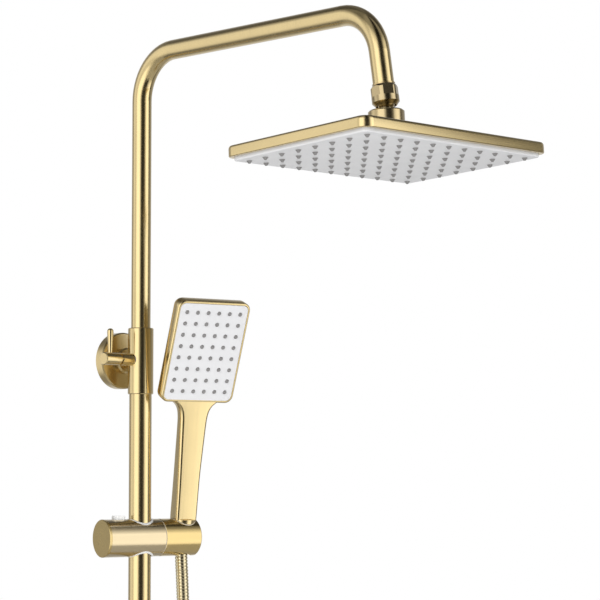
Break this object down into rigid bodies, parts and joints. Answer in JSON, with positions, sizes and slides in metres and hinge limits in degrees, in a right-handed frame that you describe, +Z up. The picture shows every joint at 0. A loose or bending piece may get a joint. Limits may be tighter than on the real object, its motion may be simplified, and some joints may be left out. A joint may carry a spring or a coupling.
{
  "type": "rainfall shower column",
  "caption": "Wall-mounted rainfall shower column with a telescopic gooseneck arm, rectangular rain head, sliding handset bracket, hand shower, hose and diverter, in brushed gold.",
  "frame": {"origin": "on the wall, at the middle of the back of the upper wall fixing", "axes": "+Z up along the riser; +Y into the wall, so the rain arm reaches out towards -Y; +X to the right seen from the room, towards the handset"},
  "size_m": [0.2354, 0.4654, 1.6091],
  "materials": {
    "brushed_gold": "satin",
    "polished_gold": "polished",
    "pale_face": "gloss",
    "grey_silicone": "matte",
    "gold_hose": "gloss",
    "white_plastic": "gloss",
    "inner_plastic": "matte",
    "bare_brass": "machined",
    "stainless": "brushed",
    "black_rubber": "matte"
  },
  "bodies": {
    "fixed_column": {"upper_wall_flange": "brushed_gold", "upper_anchor_plate": "stainless", "upper_standoff": "brushed_gold", "standoff_grub_screw": "stainless", "riser_sleeve": "brushed_gold", "sleeve_bush": "inner_plastic", "lock_barrel": "brushed_gold", "lower_riser_tube": "brushed_gold", "riser_gasket": "black_rubber", "riser_union_nut": "brushed_gold", "diverter_body": "brushed_gold", "diverter_cartridge": "inner_plastic", "lower_wall_flange": "brushed_gold", "inlet_connector": "bare_brass", "inlet_check_valve": "inner_plastic", "hose_outlet_nipple": "bare_brass", "hose_lower_washer": "black_rubber", "hose_lower_nut": "brushed_gold", "hose_lower_ferrule": "polished_gold", "hose_tube": "gold_hose"},
    "lock_handle": {"lock_knob": "brushed_gold", "lock_lever": "polished_gold", "lock_spindle": "stainless"},
    "lock_plunger": {"clamp_plunger": "inner_plastic"},
    "telescope": {"guide_bush": "inner_plastic", "guide_o_rings": "black_rubber"},
    "gooseneck": {"gooseneck_tube": "brushed_gold", "arm_end_nipple": "bare_brass", "ball_nut": "polished_gold"},
    "tilt_ring": {"ball_seat": "inner_plastic"},
    "ball_pivot": {"ball_stem": "polished_gold"},
    "rain_head": {"head_collar": "polished_gold", "head_filter_washer": "black_rubber", "head_top_shell": "brushed_gold", "head_chamber_plate": "inner_plastic", "head_nozzle_mat": "grey_silicone", "head_face_plate": "pale_face", "head_screws": "stainless"},
    "glide": {"glide_bush": "white_plastic"},
    "slide_bracket": {"slide_housing": "brushed_gold", "slide_liner": "white_plastic", "slide_end_cap": "brushed_gold", "pivot_axle": "stainless", "pivot_washer": "white_plastic", "clamp_spring": "stainless"},
    "release_button": {"release_button": "white_plastic"},
    "clamp_shoe": {"clamp_shoe": "inner_plastic"},
    "holder": {"handset_holder": "brushed_gold", "socket_liner": "white_plastic"},
    "handset": {"handset_shell": "brushed_gold", "handset_face_plate": "pale_face", "handset_nozzle_mat": "grey_silicone", "handset_chamber_plate": "inner_plastic", "handset_inlet": "bare_brass", "hose_cone_nut": "brushed_gold", "hose_cone_washer": "black_rubber", "hose_upper_ferrule": "bare_brass"},
    "diverter_handle": {"diverter_knob": "brushed_gold", "diverter_lever": "polished_gold", "diverter_spindle": "stainless"}
  },
  "joints": [
    {"name": "lock_turn", "type": "hinge", "parent": "fixed_column", "child": "lock_handle", "pos_m": [0, -0.035, 0], "axis": [1, 0, 0], "range_deg": [0, 90]},
    {"name": "plunger_slide", "type": "slide", "parent": "fixed_column", "child": "lock_plunger", "axis": [-1, 0, 0], "range_m": [0, 0.0008]},
    {"name": "arm_height", "type": "slide", "parent": "fixed_column", "child": "telescope", "axis": [0, 0, 1], "range_m": [-0.2, 0.18]},
    {"name": "arm_swivel", "type": "hinge", "parent": "telescope", "child": "gooseneck", "pos_m": [0, -0.035, 0], "axis": [0, 0, 1], "range_deg": [-45, 45]},
    {"name": "head_tilt_front", "type": "hinge", "parent": "gooseneck", "child": "tilt_ring", "pos_m": [0, -0.36441, 0.21772], "axis": [1, 0, 0], "range_deg": [-22, 10]},
    {"name": "head_tilt_side", "type": "hinge", "parent": "tilt_ring", "child": "ball_pivot", "pos_m": [0, -0.36441, 0.21772], "axis": [0, 0.9983, -0.0584], "range_deg": [-16, 16]},
    {"name": "head_spin", "type": "hinge", "parent": "ball_pivot", "child": "rain_head", "pos_m": [0, -0.36441, 0.21772], "axis": [0, 0.0584, 0.9983], "continuous": true},
    {"name": "bracket_height", "type": "slide", "parent": "fixed_column", "child": "glide", "axis": [0, 0, 1], "range_m": [-0.6, 0.11], "deforming": ["hose_tube"]},
    {"name": "bracket_swivel", "type": "hinge", "parent": "glide", "child": "slide_bracket", "pos_m": [0, -0.035, -0.1732], "axis": [0, 0, 1], "range_deg": [-12, 24]},
    {"name": "button_press", "type": "slide", "parent": "slide_bracket", "child": "release_button", "axis": [0, 0, -1], "range_m": [0, 0.003], "stiffness_N_per_m": 400, "springref_m": -0.003},
    {"name": "shoe_slide", "type": "slide", "parent": "slide_bracket", "child": "clamp_shoe", "axis": [-0.9806, 0.1959, 0], "range_m": [0, 0.001], "deforming": ["clamp_spring"]},
    {"name": "holder_tilt", "type": "hinge", "parent": "slide_bracket", "child": "holder", "pos_m": [0.04628, -0.04425, -0.1732], "axis": [0.9806, -0.1959, 0], "range_deg": [-3, 25]},
    {"name": "handset_lift", "type": "slide", "parent": "holder", "child": "handset", "axis": [-0.0296, -0.1483, 0.9885], "range_m": [0, 0.045]},
    {"name": "diverter_turn", "type": "hinge", "parent": "fixed_column", "child": "diverter_handle", "pos_m": [0, -0.065, -0.96], "axis": [0, 1, 0], "range_deg": [-90, 90]}
  ],
  "couplings": [
    {"joint": "plunger_slide", "follows": "lock_turn", "m_per_rad": 0.0005},
    {"joint": "shoe_slide", "follows": "button_press", "ratio": 0.267}
  ]
}
